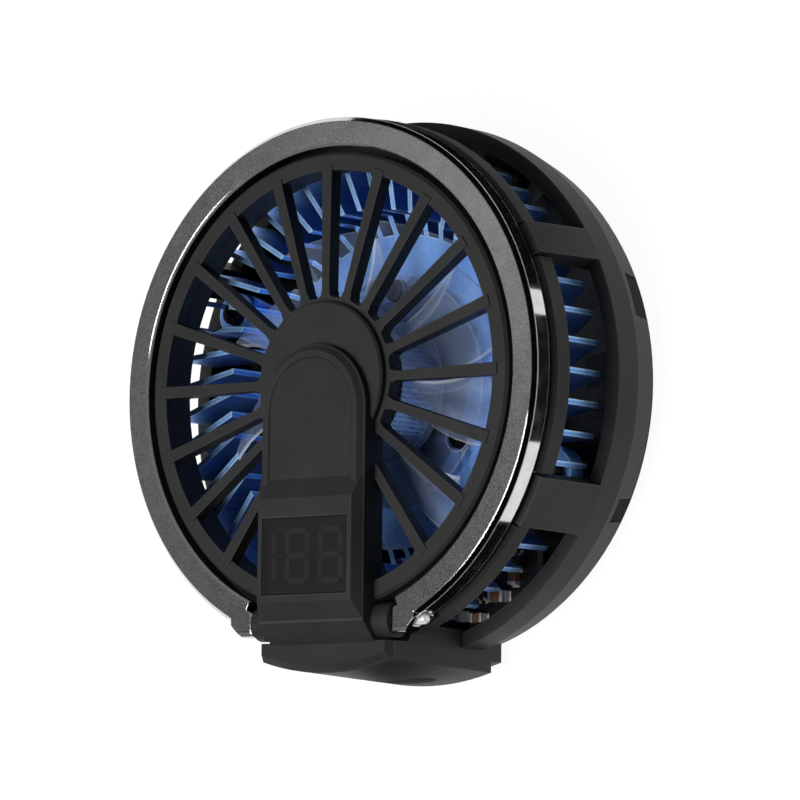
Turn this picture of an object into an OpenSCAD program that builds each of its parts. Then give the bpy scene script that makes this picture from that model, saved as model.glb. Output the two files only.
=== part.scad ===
// Phone cooling fan with a folding ring stand.
// Frame: the fan's axis is Z, the phone touches the plane z = 0, the front faces +Z,
// and the display arm runs down towards -Y.

/* [Ring stand] */
// Outer radius of the ring
ring_r = 29; // [28:0.1:32]
// Radial width of the ring
ring_w = 3.2; // [2.6:0.1:3.8]
// Thickness of the ring along the axis
ring_t = 3; // [2.6:0.1:3.6]
// Polished chamfer round the ring's edges
ring_chamfer = 0.5; // [0.2:0.05:0.7]
// Free gap under and inside the ring
ring_gap = 0.3; // [0.2:0.05:0.5]
// Radius of the hinge pins
pin_r = 0.6; // [0.5:0.05:0.8]
// Running clearance of the legs on the pins
pin_clear = 0.04; // [0.02:0.01:0.08]

/* [Front grille] */
// Radial width of the frame round the openings
frame_w = 2; // [1.5:0.1:2.6]
// Thickness of the frame's flange
frame_t = 1.2; // [0.8:0.1:1.8]
// Gap between the frame and the ring
frame_gap = 0.65; // [0.4:0.05:1]
// Number of spokes
spoke_count = 20; // [16:1:24]
// Width of a spoke at the hub
spoke_w_in = 0.95; // [0.7:0.05:1.2]
// Width of a spoke at the frame
spoke_w_out = 1.35; // [1:0.05:1.7]
// Depth of a spoke
spoke_t = 1.6; // [1.2:0.1:2]
// How far the spokes stand proud of the frame
spoke_proud = 0.15; // [0.05:0.05:0.3]
// Radius of the raised hub
hub_r = 8.7; // [8:0.1:9.5]
// Rise of the hub above the spokes
hub_rise = 0.85; // [0.5:0.05:1.2]
// Height of the shroud band behind the ring
band_h = 2.5; // [2.2:0.1:3]
// Step of the shroud band outside the ring
band_step = 0.2; // [0.1:0.05:0.4]
// Thickness of the deck under the ring
deck_t = 1.3; // [1:0.1:1.6]
// Radial wall of the shroud band
band_wall = 1.5; // [1.2:0.1:1.8]

/* [Arm and display] */
// Width of the arm at its foot
arm_w = 14.6; // [13:0.1:15.6]
// Bevel along the arm's edges
arm_bevel = 0.75; // [0.4:0.05:1]
// Height of the arm body above the spokes
arm_rise = 1.65; // [1.2:0.05:2.2]
// How far the rounded end's centre lies below the axis
arm_drop = 3.4; // [2.5:0.1:4.5]
// Depth of the shallow panel in the arm cover
panel_depth = 0.25; // [0.1:0.05:0.4]
// Width of the rim round the panel
panel_rim = 0.6; // [0.4:0.05:0.9]
// Rise of the display end above the arm's rim
display_rise = 0.65; // [0.4:0.05:1]
// Width of the display window
window_w = 11.9; // [10.5:0.1:12.2]
// Height of the display window
window_h = 8.2; // [7:0.1:9]
// Distance of the window's centre above the hinge
window_up = 7; // [6.6:0.1:7.6]
// Thickness of the lens
lens_t = 1; // [0.6:0.1:1.1]

/* [Hinge and chin] */
// How far the hinge lies outside the ring's inner edge
hinge_drop = 0.4; // [0.2:0.05:0.8]
// Radius of the hinge barrels
barrel_r = 1.92; // [1.7:0.02:2]
// Length of each barrel beside the arm
barrel_len = 2.25; // [1.8:0.05:2.6]
// Gap between a barrel and its leg
leg_gap = 0.27; // [0.2:0.01:0.4]
// Width of the bottom block
block_w = 18.2; // [17:0.1:18.6]
// How far the block's front reaches below the hinge
block_drop = 5.5; // [5:0.1:6]
// How much farther the block's rear reaches
block_draft = 0.7; // [0.4:0.05:1]
// Wall of the bottom block
block_wall = 1.5; // [1.2:0.1:1.8]

/* [Rear shell] */
// Step of the bridges outside the shroud band
bridge_step = 0.45; // [0.3:0.05:0.7]
// How far the shell widens from the bridges' front to the rear band
shell_flare = 0.45; // [0.2:0.05:0.7]
// Wall of the shell
shell_wall = 1.7; // [1.3:0.1:2]
// Front edge of the rear band
rear_band_z = 8.1; // [7.4:0.1:8.6]
// Where the rear taper starts
taper_z = 4.75; // [4:0.05:5.5]
// How far the taper draws in at the rear edge
taper_in = 0.9; // [0.5:0.05:1.2]
// Middle angle of the upper bridges
upper_bridge_deg = 29; // [28:0.5:31]
// Span of the upper bridges
upper_bridge_span = 7.6; // [6:0.2:9]
// Middle angle of the lower bridges
lower_bridge_deg = -28.5; // [-31:0.5:-28]
// Span of the lower bridges
lower_bridge_span = 11.3; // [9:0.1:12]
// Depth of the finger notches in the rear taper
notch_depth = 0.4; // [0.2:0.05:0.6]

/* [Contact side] */
// Thickness of the contact pad
pad_t = 1.2; // [0.8:0.1:1.6]
// Floor of the rear shell
floor_t = 1; // [0.8:0.1:1.4]
// Width of the cold plate's rim round its raised seat
plate_rim = 2.2; // [1.6:0.1:2.8]
// How far the raised seat lies inside the heat sink's disc
seat_inset = 0.95; // [0.8:0.05:1.3]
// Rise of the seat above the shell's floor
seat_rise = 0.6; // [0.4:0.05:1]
// Thickness of the magnets
magnet_t = 2.2; // [1.6:0.1:2.4]
// Radial width of the magnets
magnet_w = 4; // [3:0.1:4.4]
// Distance of the magnet circle inside the shell's wall
magnet_inset = 3.6; // [3.2:0.1:4]

/* [Cooling element] */
// Distance of the square element's sides inside the seat's edge
element_inset = 6.6; // [6:0.1:7.6]
// Thickness of each ceramic plate
ceramic_t = 0.7; // [0.5:0.05:0.9]
// Height of the pellets
pellet_h = 1.6; // [1.2:0.1:2]
// Pellets along each side
pellet_rows = 8; // [6:1:10]

/* [Heat sink] */
// Gap from the grille's openings in to the base disc
sink_gap = 5.6; // [5.2:0.05:6]
// Thickness of the base disc
sink_base_t = 3.1; // [2.6:0.1:3.6]
// Height of the fins above the base
fin_h = 5.3; // [4.8:0.1:6]
// Number of fin places round the disc
fin_count = 51; // [40:1:60]
// Thickness of a fin
fin_t = 0.6; // [0.5:0.05:0.9]
// Sweep of the fins from the radius
fin_sweep = 24; // [10:1:30]
// Gap from the fins to the bridges
fin_gap = 0.45; // [0.3:0.05:0.7]
// Rise of the fins' rear edges from root to tip
fin_lift = 2.5; // [2:0.1:2.6]
// Radius of the two screw lugs
lug_r = 2.5; // [2.2:0.1:2.7]
// Thickness of the lugs
lug_t = 1; // [0.9:0.05:1.2]
// Rise of the lugs' bosses above the base
lug_rise = 1.2; // [0.8:0.1:1.6]
// Angle of the lugs below the X axis on the right, and above it on the left
lug_deg = 23.7; // [22:0.1:25]

/* [Fan] */
// Gap from the blades' tips to the fins
tip_gap = 1.4; // [1.1:0.05:1.8]
// Number of blades
blade_count = 9; // [7:1:11]
// Turn of a blade from its rear edge to its front edge
blade_turn = 33; // [24:1:36]
// Thickness of a blade along the rim
blade_t = 1.3; // [1:0.1:1.6]
// Outer radius of the impeller's hub
fan_hub_r = 8.5; // [8.3:0.05:8.7]
// Wall of the impeller's hub
fan_hub_wall = 0.6; // [0.5:0.05:0.7]
// Gap between the impeller's hub and the grille
fan_front_gap = 1.45; // [1:0.05:1.6]
// Thickness of the motor's base plate
motor_base_t = 1.2; // [1.1:0.05:1.4]
// Radius of the motor's base plate
motor_base_r = 13; // [12.8:0.1:14]
// Radius of the motor shaft
shaft_r = 1; // [0.8:0.05:1.1]
// Running clearance of the shaft in its bearing
shaft_clear = 0.03; // [0.02:0.01:0.06]

/* [Electronics] */
// Thickness of the main board
board_t = 1; // [0.8:0.1:1.2]
// Height of the main board's underside
board_z = 5.6; // [5.5:0.1:5.9]
// Distance of the main board's sides inside the shell's wall
board_inset = 10.3; // [9.6:0.1:11]
// Width of the socket's metal shell
usb_w = 8.94; // [8.8:0.02:9.1]
// Height of the socket's metal shell
usb_h = 3.26; // [3.1:0.02:3.3]
// Length of the socket
usb_len = 7.3; // [6.5:0.1:8]

/* [Hidden] */
$fn = 96;
eps = 0.01;
far = 200;

// Axial levels, from the phone side forward
floor_top = pad_t + floor_t;
seat_top = floor_top + seat_rise;
cold_top = seat_top + ceramic_t;
pellet_top = cold_top + pellet_h;
sink_z = pellet_top + ceramic_t;
sink_top = sink_z + sink_base_t;
fin_top = sink_top + fin_h;
band_lift = 1.5;
band_z = fin_top + band_lift;
deck_top = band_z + band_h;
deck_z = deck_top - deck_t;
ring_z = deck_top + ring_gap;
ring_top = ring_z + ring_t;
frame_sink = 0.2;
frame_top = ring_top - frame_sink;
spoke_top = frame_top + spoke_proud;
spoke_z = spoke_top - spoke_t;
hub_top = spoke_top + hub_rise;
arm_z = spoke_z + 0.2;
arm_top = spoke_top + arm_rise;
rim_z = arm_top + arm_bevel;
display_z = rim_z + display_rise;

// Radii, from the ring inward and outward
ring_in = ring_r - ring_w;
frame_r = ring_in - frame_gap;
opening_r = frame_r - frame_w;
wall_recess = 0.35;
band_r = ring_r + band_step;
bridge_r = band_r + bridge_step;
shell_r = bridge_r + shell_flare;
rear_r = shell_r - taper_in;
shell_in = shell_r - shell_wall;
band_in = band_r - band_wall;
band_cut = band_in - 0.1;
bridge_in = band_in + 0.15;
fin_r = bridge_in - fin_gap;
sink_r = opening_r - sink_gap;
seat_r = sink_r - seat_inset;
plate_r = seat_r + plate_rim;
element_w = 2 * (seat_r - element_inset);
magnet_r = shell_in - magnet_inset;

// Hinge
hinge_y = ring_in + hinge_drop;
hinge_z = ring_z + ring_t / 2;
arm_half = arm_w / 2;
leg_half = arm_half + barrel_len + leg_gap;
leg_end_r = ring_t / 2;
leg_corner = 0.8;
leg_low = hinge_y + leg_end_r;
leg_bevel = 1.9;
leg_w = 3.5;
leg_out = leg_half + leg_w;
// Farthest reach of a leg's end from the hinge's axis
leg_reach = sqrt(2) * (leg_end_r - leg_corner) + leg_corner;
pin_seat = 0.3;
pin_seat_depth = 1.2;
pin_end = leg_out - 0.1;
block_half = block_w / 2;
seam_gap = 0.05;
block_z = 3.1;
block_step_z = 1.3;
block_r_front = hinge_y + block_drop;
block_r_rear = block_r_front + block_draft;
block_step_r = block_r_rear - 1.15;
block_wall_y = hinge_y + 0.5;
notch_z = taper_z - 0.95;
chin_z = hinge_z + 0.3;
chin_t = 0.85;
chin_top = chin_z + chin_t;

// Arm and display
rim_half = arm_half - arm_bevel;
window_y = hinge_y - window_up;
ramp_margin = 4.35;
ramp_y = window_y - window_h / 2 - ramp_margin;
ramp_run = 2.15;
window_margin = 0.85;
face_end_y = window_y + window_h / 2 + window_margin;
arm_end_y = face_end_y + 2.25;
lens_sink = 0.05;
lens_z = display_z - lens_sink - lens_t;
panel_half = rim_half - panel_rim;
lens_clear = 0.08;
module_margin = 0.3;
segment_t = 0.2;
segment_gap = 0.05;
module_top = lens_z - segment_gap - segment_t;
display_board_t = 0.6;
arm_floor = 0.7;
display_board_z = arm_z + arm_floor;
module_z = display_board_z + display_board_t;
bay_w = window_w - 0.3;
bay_y0 = window_y - window_h / 2 + 0.15;
bay_y1 = window_y + window_h / 2 - 0.15;
cover_skin = 0.6;

// Ribbon from the display to the main board
ribbon_x = -6.1;
ribbon_w = 2;
ribbon_t = 0.3;
ribbon_y = hinge_y + 0.4;
ribbon_clear = 0.35;

// Heat sink screws and lugs
lug_inset = 3.6;
lug_place_r = shell_in - lug_inset;
lug_angles = [180 - lug_deg, 360 - lug_deg];
screw_r = 0.8;
screw_hole_r = 1.05;
screw_head_r = 1.35;
screw_head_t = 1;
screw_bite = 2.2;
post_r = 1.9;
post_clear = 0.4;
lug_z = sink_top - lug_t;
lug_top = sink_top + lug_rise;
fin_heel_r = sink_r + 0.4;
fin_heel_z = sink_z - 0.3;
fin_tip_z = fin_heel_z + fin_lift;
bowl_step = 2.15;
bowl_r = sink_r + bowl_step;
impeller_r = bowl_r - tip_gap;

// Main board
board_top = board_z + board_t;
board_gap = 0.3;
board_r = shell_in - board_gap;
board_in = sink_r + 2.65;
board_half = shell_in - board_inset;
board_upper_y = board_half - 0.6;
board_keep = 0.4;
board_air = 3.4;
root_air = 1.4;
fin_neck = 1.2;
pcb_post_deg = 11.25;
pcb_post_angles = [-90 - pcb_post_deg, -90 + pcb_post_deg];
pcb_post_place = board_in + 3;
pcb_post_r = 1.4;

// Socket
usb_z = board_top + usb_h / 2;
usb_mouth_y = block_r_front - 0.1;
usb_corner = usb_h / 2 - 0.05;
usb_wall = 0.25;
usb_clear = 0.45;

// Motor
base_z = sink_top;
base_top = base_z + motor_base_t;
hub_front = spoke_z - fan_front_gap;
cap_t = 0.8;
cup_top = hub_front - cap_t;
cup_wall = 0.5;
cup_r = fan_hub_r - fan_hub_wall;
cup_in = cup_r - cup_wall;
motor_board_t = 0.6;
motor_board_r = cup_in;
cup_z = base_top + motor_board_t + 0.8;
magnet_ring_w = 0.9;
magnet_ring_in = cup_in - magnet_ring_w;
air_gap = 0.4;
stator_r = magnet_ring_in - air_gap;
tube_r = shaft_r + 1.6;
sleeve_r = shaft_r + 1;
coil_gap = 0.5;
coil_top = cup_top - cup_wall - coil_gap;
coil_z = base_top + motor_board_t + 0.5;
stack_inset = 0.75;
base_screw_place = 11.1;
base_screw_deg = -31;
base_screw_angles = [for (k = [0 : 2]) base_screw_deg + 120 * k];
blade_low = base_top + 0.5;
blade_tip_top = cup_top - 1.5;
blade_root = fan_hub_r - 0.3;
lead_r = 0.3;
lead_x = 0.45;
lead_slot = 1;
// Direction in which the motor's leads leave, behind the arm
lead_deg = -115;
lead_y_in = 6.6;
lead_y_out = board_in + 0.9;
lead_z = base_z + lead_r + 0.05;

// Bridges as [middle angle, span], mirrored left and right
right_bridges = [[upper_bridge_deg, upper_bridge_span], [lower_bridge_deg, lower_bridge_span]];
bridges = concat(right_bridges, [for (b = right_bridges) [180 - b[0], b[1]]]);
// Finger notches as [middle angle, span]
right_notches = [[18.5, 9.8], [-28.1, 5.6]];
notches = concat(right_notches, [for (n = right_notches) [180 - n[0], n[1]]]);

plastic = [0.035, 0.035, 0.037];
clear_plastic = [0.75, 0.8, 0.86, 0.5];
blue_anodised = [0.1, 0.24, 0.62];
gunmetal = [0.32, 0.32, 0.33];
steel = [0.62, 0.63, 0.65];

// A ring of rectangular section between two radii and two heights
module tube(r_in, r_out, z0, z1) {
    translate([0, 0, z0]) difference() {
        cylinder(r = r_out, h = z1 - z0);
        translate([0, 0, -eps]) cylinder(r = r_in, h = z1 - z0 + 2 * eps);
    }
}

// A revolved section over part of the circle, about a middle angle
module arc_sweep(middle, span) {
    rotate([0, 0, middle - span / 2]) rotate_extrude(angle = span) children();
}

// A cylinder along X between two stations
module x_rod(r, x0, x1, y, z) {
    translate([x0, y, z]) rotate([0, 90, 0]) cylinder(r = r, h = x1 - x0);
}

// A box between two corners
module block(low, high) {
    translate(low) cube(high - low);
}

// A profile in the YZ plane, drawn as [y, z], swept along X
module x_prism(half, points) {
    translate([-half, 0, 0]) rotate([90, 0, 90]) linear_extrude(2 * half) polygon(points);
}

// A profile in the XZ plane, drawn as [x, z], swept from y0 down to y1
module y_prism(y0, y1, points) {
    translate([0, y0, 0]) rotate([90, 0, 0]) linear_extrude(y0 - y1) polygon(points);
}

// Long shape with one round end at the top, drawn in the plane
module arm_outline(half, end_y) {
    translate([0, -arm_drop]) circle(r = half);
    translate([-half, -end_y]) square([2 * half, end_y - arm_drop]);
}

// Cross-head screw that points down, with its head's seat at the given height
module screw(z_seat, length) {
    translate([0, 0, z_seat - length]) cylinder(r = screw_r, h = length);
    difference() {
        translate([0, 0, z_seat]) cylinder(r1 = screw_head_r, r2 = screw_head_r - 0.2, h = screw_head_t);
        for (a = [0, 90]) translate([0, 0, z_seat + screw_head_t - 0.25]) rotate([0, 0, a])
            cube([1.5, 0.35, 1], center = true);
    }
}

// Ring stand

module ring_section() {
    c = ring_chamfer;
    polygon([[ring_in + c, ring_z], [ring_r - c, ring_z], [ring_r, ring_z + c],
        [ring_r, ring_top - c], [ring_r - c, ring_top], [ring_in + c / 2, ring_top],
        [ring_in, ring_top - c / 2], [ring_in, ring_z + c]]);
}

// Side view of a leg's end, drawn as [y, z]: round behind, with a tighter corner in front
module leg_side() {
    translate([-hinge_y, ring_z]) square([ring_w + 1, ring_t]);
    translate([-hinge_y, hinge_z]) circle(r = leg_end_r);
    translate([-leg_low, hinge_z]) square([leg_end_r, leg_end_r - leg_corner]);
    translate([leg_corner - leg_low, hinge_z]) square([leg_end_r - leg_corner, leg_end_r]);
    translate([leg_corner - leg_low, ring_top - leg_corner]) circle(r = leg_corner);
}

// One leg: it carries the ring's end down past the pin
module leg() {
    c = ring_chamfer * 0.94;
    difference() {
        intersection() {
            translate([leg_half, 0, 0]) rotate([90, 0, 90]) linear_extrude(leg_w) leg_side();
            y_prism(0, -far, [[leg_half, ring_z], [leg_out, ring_z], [leg_out, ring_top - c],
                [leg_out - c, ring_top], [leg_half + c / 2, ring_top], [leg_half, ring_top - c / 2]]);
            translate([0, 0, ring_z - 1]) linear_extrude(ring_t + 2) polygon([[0, 0], [0, -leg_low],
                [leg_out - leg_bevel, -leg_low], [leg_out, leg_bevel - leg_low], [leg_out, 0]]);
        }
        cylinder(r = ring_in + ring_w / 3, h = far);
    }
}

module ring_stand() {
    end_deg = acos(leg_half / ring_in) - 1;
    color(gunmetal) difference() {
        union() {
            difference() {
                arc_sweep(90, 180 + 2 * end_deg) ring_section();
                block([-far, -far, ring_z - 1], [far, -hinge_y, ring_top + 1]);
                block([-leg_half, -far, ring_z - 1], [leg_half, -ring_in / 2, ring_top + 1]);
            }
            for (s = [0, 1]) mirror([s, 0, 0]) leg();
        }
        x_rod(pin_r + pin_clear, -far, far, -hinge_y, hinge_z);
        for (s = [0, 1]) mirror([s, 0, 0])
            x_rod(pin_r + pin_seat, leg_out - pin_seat_depth, far, -hinge_y, hinge_z);
    }
}

module hinge_pins() {
    color(steel) for (s = [0, 1]) mirror([s, 0, 0]) {
        x_rod(pin_r, arm_half + 0.4, pin_end, -hinge_y, hinge_z);
        translate([pin_end, -hinge_y, hinge_z]) sphere(r = pin_r);
    }
}

// Front grille

module shroud_section() {
    r = 0.35;
    polygon([[opening_r, frame_top], [frame_r - r, frame_top], [frame_r, frame_top - r],
        [frame_r, deck_top], [band_r - r, deck_top], [band_r, deck_top - r], [band_r, band_z],
        [band_in, band_z], [band_in, deck_z], [opening_r + wall_recess, deck_z],
        [opening_r + wall_recess, frame_top - frame_t], [opening_r, frame_top - frame_t]]);
}

// Shroud, with its band left out at the bridges and at the bottom block
module shroud() {
    difference() {
        rotate_extrude() shroud_section();
        for (b = bridges) arc_sweep(b[0], b[1] + 1)
            translate([band_cut, band_z - 1]) square([band_wall + 1, band_h + 2]);
        arc_sweep(-90, 2 * asin((block_half + ring_gap) / band_in))
            translate([band_cut, band_z - 1]) square([band_wall + 1, band_h + 2]);
        for (s = [0, 1]) mirror([s, 0, 0])
            x_rod(leg_reach + ring_gap, leg_half - ring_gap, leg_out + ring_gap, -hinge_y, hinge_z);
    }
}

module spoke_plan() {
    tip = opening_r + frame_w * 0.3;
    polygon([[hub_r - 1, -spoke_w_in / 2], [tip, -spoke_w_out / 2], [tip, spoke_w_out / 2],
        [hub_r - 1, spoke_w_in / 2]]);
}

// Inner end of one gap between spokes, with its two rounded corners
module gap_plan() {
    corner = 0.5;
    root = hub_r + 0.5;
    half = root * sin(180 / spoke_count) - spoke_w_in / 2 - 0.05;
    translate([root + corner, half - corner]) circle(r = corner, $fn = 32);
    translate([root + corner, corner - half]) circle(r = corner, $fn = 32);
    translate([root, corner - half]) square([2 * corner, 2 * (half - corner)]);
    translate([root + corner, -half]) square([2 * corner, 2 * half]);
}

// A spoke is left out where the arm runs
function spoke_free(a) = sin(a) > 0 || abs(opening_r * cos(a)) > arm_half + spoke_w_out / 2;

module spokes() {
    pitch = 360 / spoke_count;
    translate([0, 0, spoke_z]) linear_extrude(spoke_t) {
        for (k = [0 : spoke_count - 1]) if (spoke_free(k * pitch)) rotate(k * pitch) spoke_plan();
        difference() {
            circle(r = hub_r + 1.2);
            for (k = [0 : spoke_count - 1]) rotate((k + 0.5) * pitch) gap_plan();
        }
    }
}

module hub_disc() {
    r = 0.25;
    rotate_extrude() polygon([[0, spoke_z], [hub_r, spoke_z], [hub_r, hub_top - r], [hub_r - r, hub_top],
        [0, hub_top]]);
}

// Foot of the arm, where it crosses the ring's gap and carries the hinge barrels
module arm_root() {
    x_prism(arm_half, [[-hinge_y + 3, deck_z], [-hinge_y + 3, arm_top], [-arm_end_y, arm_top],
        [-hinge_y - 2.4, chin_top], [-hinge_y - 2.4, deck_z]]);
    for (s = [0, 1]) mirror([s, 0, 0])
        x_rod(barrel_r, arm_half - 1, arm_half + barrel_len, -hinge_y, hinge_z);
}

// Lip in front of the bottom block, round below, with a chamfered edge
module chin() {
    top_y = hinge_y + barrel_r + 0.25;
    intersection() {
        translate([0, 0, chin_z]) cylinder(r1 = block_r_front, r2 = block_r_front - chin_t, h = chin_t);
        x_prism(block_half, [[-top_y, chin_z - eps], [-far, chin_z - eps], [-far, chin_top],
            [-top_y, chin_top]]);
        y_prism(0, -far, [[-block_half, chin_z - eps], [block_half, chin_z - eps],
            [block_half - chin_t / 2, chin_top + eps], [chin_t / 2 - block_half, chin_top + eps]]);
    }
}

module ribbon_channel() {
    c = ribbon_clear;
    x0 = ribbon_x - ribbon_w / 2 - c;
    x1 = ribbon_x + ribbon_w / 2 + c;
    block([x0, -ribbon_y - ribbon_t - c, 0], [x1, -ribbon_y + c, display_board_z + display_board_t + c]);
    block([x0, -ribbon_y - ribbon_t - c, display_board_z - c], [x1, -bay_y1 + 1, module_z + c]);
}

module front_grille() {
    color(plastic) difference() {
        union() {
            shroud();
            spokes();
            hub_disc();
            translate([0, 0, arm_z]) linear_extrude(arm_top - arm_z) arm_outline(arm_half, arm_end_y);
            arm_root();
            chin();
        }
        block([-bay_w / 2 - module_margin, -bay_y1 - module_margin, display_board_z],
            [bay_w / 2 + module_margin, -bay_y0 + module_margin, far]);
        ribbon_channel();
        for (s = [0, 1]) mirror([s, 0, 0]) x_rod(pin_r, arm_half + 0.4, far, -hinge_y, hinge_z);
        block([-block_half + block_wall, -hinge_y - 5, 0],
            [block_half - block_wall, -hinge_y - 2.4 + eps, chin_z]);
    }
}

// Arm cover

module bevelled_arm(foot_half, top_half, z0, z1, end_y) {
    translate([0, -arm_drop, z0]) cylinder(r1 = foot_half, r2 = top_half, h = z1 - z0);
    y_prism(-arm_drop, -end_y, [[-foot_half, z0], [foot_half, z0], [top_half, z1], [-top_half, z1]]);
}

module display_block() {
    intersection() {
        y_prism(-ramp_y + 1, -arm_end_y - 1,
            [[-arm_half, arm_top], [arm_half, arm_top], [rim_half, display_z], [-rim_half, display_z]]);
        x_prism(arm_half, [[-ramp_y, arm_top], [-ramp_y, rim_z - panel_depth],
            [-ramp_y - ramp_run, display_z], [-face_end_y, display_z], [-arm_end_y, arm_top]]);
    }
}

module arm_cover() {
    panel_end = ramp_y + ramp_run;
    color(plastic) difference() {
        union() {
            difference() {
                bevelled_arm(arm_half, rim_half, arm_top, rim_z, ramp_y + 1);
                bevelled_arm(panel_half - panel_depth, panel_half + eps, rim_z - panel_depth,
                    rim_z + eps, panel_end);
            }
            display_block();
        }
        block([-window_w / 2 - lens_clear, -window_y - window_h / 2 - lens_clear, lens_z],
            [window_w / 2 + lens_clear, -window_y + window_h / 2 + lens_clear, far]);
        block([-bay_w / 2 - lens_clear, -bay_y1 - lens_clear, arm_top - 1],
            [bay_w / 2 + lens_clear, -bay_y0 + lens_clear, far]);
    }
}

module display_lens() {
    color([0.02, 0.02, 0.022]) block([-window_w / 2, -window_y - window_h / 2, lens_z],
        [window_w / 2, -window_y + window_h / 2, lens_z + lens_t]);
}

// Seven-segment digits: bars in the order top, upper right, lower right, bottom,
// lower left, upper left, middle
digit_h = window_h - 2.4;
digit_pitch = 0.39 * window_w;
digit_w = digit_pitch - 1.3;
digit_shift = -0.1 * window_w;
bar_w = 0.62;
bar_gap = 0.14;

module bar(length) {
    h = bar_w / 2;
    e = length / 2 - bar_gap;
    polygon([[-e, 0], [h - e, h], [e - h, h], [e, 0], [e - h, -h], [h - e, -h]]);
}

module digit(lit) {
    half = digit_h / 2;
    places = [[0, half, 0, digit_w], [digit_w / 2, half / 2, 90, half],
        [digit_w / 2, -half / 2, 90, half], [0, -half, 0, digit_w], [-digit_w / 2, -half / 2, 90, half],
        [-digit_w / 2, half / 2, 90, half], [0, 0, 0, digit_w]];
    for (k = lit) translate([places[k][0], places[k][1]]) rotate(places[k][2]) bar(places[k][3]);
}

module digit_segments() {
    digits = [[1, 2], [0, 1, 2, 3, 4, 5, 6], [0, 1, 2, 3, 4, 5, 6]];
    color([0.06, 0.06, 0.062]) translate([0, -window_y, module_top]) linear_extrude(segment_t)
        for (k = [0 : len(digits) - 1]) translate([(k - 1) * digit_pitch + digit_shift, 0])
            digit(digits[k]);
}

module display_module() {
    color([0.05, 0.05, 0.05]) block([-bay_w / 2, -bay_y1, module_z], [bay_w / 2, -bay_y0, module_top]);
}

module display_pcb() {
    color([0.02, 0.08, 0.05]) block([-bay_w / 2, -bay_y1, display_board_z], [bay_w / 2, -bay_y0, module_z]);
}

// Flat lead that leaves the display board, turns back and drops to the main board
module display_ribbon() {
    x0 = ribbon_x - ribbon_w / 2;
    x1 = ribbon_x + ribbon_w / 2;
    color([0.5, 0.3, 0.08]) union() {
        block([x0, -ribbon_y, display_board_z], [x1, -bay_y1, display_board_z + ribbon_t]);
        block([x0, -ribbon_y - ribbon_t, board_top], [x1, -ribbon_y, display_board_z + ribbon_t]);
    }
}

// Rear shell

module shell_section() {
    edge = 0.6;
    lip = 0.4;
    polygon([[shell_in, lip], [rear_r - edge / 2, lip], [rear_r, lip + edge], [shell_r, taper_z],
        [shell_r, rear_band_z], [shell_in, rear_band_z], [shell_in, floor_top], [seat_r + 0.2, floor_top],
        [seat_r + 0.2, pad_t], [shell_in, pad_t]]);
}

module bridge_section() {
    polygon([[bridge_in, rear_band_z - 1], [shell_r - eps, rear_band_z - 1], [shell_r - eps, rear_band_z],
        [bridge_r, deck_top - 0.1], [bridge_in, deck_top - 0.1]]);
}

// Bottom block: a tray that is open towards the fan and closed in front by the chin
module bottom_block() {
    wall_y_front = hinge_y + barrel_r + 0.25;
    front = chin_z - seam_gap;
    difference() {
        intersection() {
            union() {
                translate([0, 0, block_z])
                    cylinder(r1 = block_r_rear, r2 = block_r_front, h = front - block_z);
                translate([0, 0, block_step_z]) cylinder(r = block_step_r, h = front - block_step_z);
            }
            x_prism(block_half, [[-block_wall_y, block_step_z], [-block_wall_y, rear_band_z],
                [-hinge_y - 0.1, ring_z - 2], [-wall_y_front, ring_z - 1], [-wall_y_front, front],
                [-far, front], [-far, block_step_z]]);
        }
        intersection() {
            translate([0, 0, floor_top]) cylinder(r = block_r_front - block_wall, h = front);
            block([block_wall - block_half, -far, floor_top], [block_half - block_wall, 0, front + 1]);
        }
    }
}

module usb_plan(grow) {
    half = usb_w / 2 - usb_corner;
    for (s = [-1, 1]) translate([s * half, 0]) circle(r = usb_corner + grow);
    square([2 * half, 2 * (usb_corner + grow)], center = true);
}

module usb_body(grow, y0, y1) {
    translate([0, y0, usb_z]) rotate([90, 0, 0]) linear_extrude(y0 - y1) usb_plan(grow);
}

module lug_posts() {
    for (a = lug_angles) rotate(a) translate([lug_place_r, 0, floor_top - eps])
        cylinder(r = post_r, h = lug_z - floor_top + eps);
    for (a = pcb_post_angles) rotate(a) translate([pcb_post_place, 0, floor_top - eps])
        cylinder(r = pcb_post_r, h = board_z - floor_top + eps);
}

module rear_shell() {
    color(plastic) difference() {
        union() {
            rotate_extrude() shell_section();
            for (b = bridges) arc_sweep(b[0], b[1]) bridge_section();
            bottom_block();
            lug_posts();
        }
        for (n = notches) arc_sweep(n[0], n[1])
            polygon([[rear_r - notch_depth, 0], [far, 0], [far, notch_z],
                [shell_r - notch_depth, notch_z]]);
        for (a = lug_angles) rotate(a) translate([lug_place_r, 0, lug_z - screw_bite])
            cylinder(r = screw_r, h = screw_bite + 1);
        for (a = pcb_post_angles) rotate(a) translate([pcb_post_place, 0, board_z - screw_bite])
            cylinder(r = screw_r, h = screw_bite + 1);
        usb_body(usb_clear, -hinge_y, -far);
        intersection() {
            tube(shell_in - 3, shell_r + 1, floor_top, deck_top);
            block([block_wall - block_half, -far, floor_top],
                [block_half - block_wall, -shell_in + 4, deck_top]);
            translate([0, 0, floor_top]) cylinder(r = block_r_front - block_wall, h = deck_top);
        }
    }
}

module contact_pad() {
    color([0.05, 0.05, 0.052]) tube(plate_r + 0.1, shell_in - 0.1, 0, pad_t);
}

module cold_plate() {
    color([0.7, 0.71, 0.73]) union() {
        cylinder(r = plate_r, h = pad_t);
        translate([0, 0, pad_t]) cylinder(r = seat_r, h = seat_top - pad_t);
    }
}

magnet_places = 16;
magnet_fill = 0.64;
// Places left free for the heat sink's posts
magnet_free = [1, 7, 9, 15];

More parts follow.
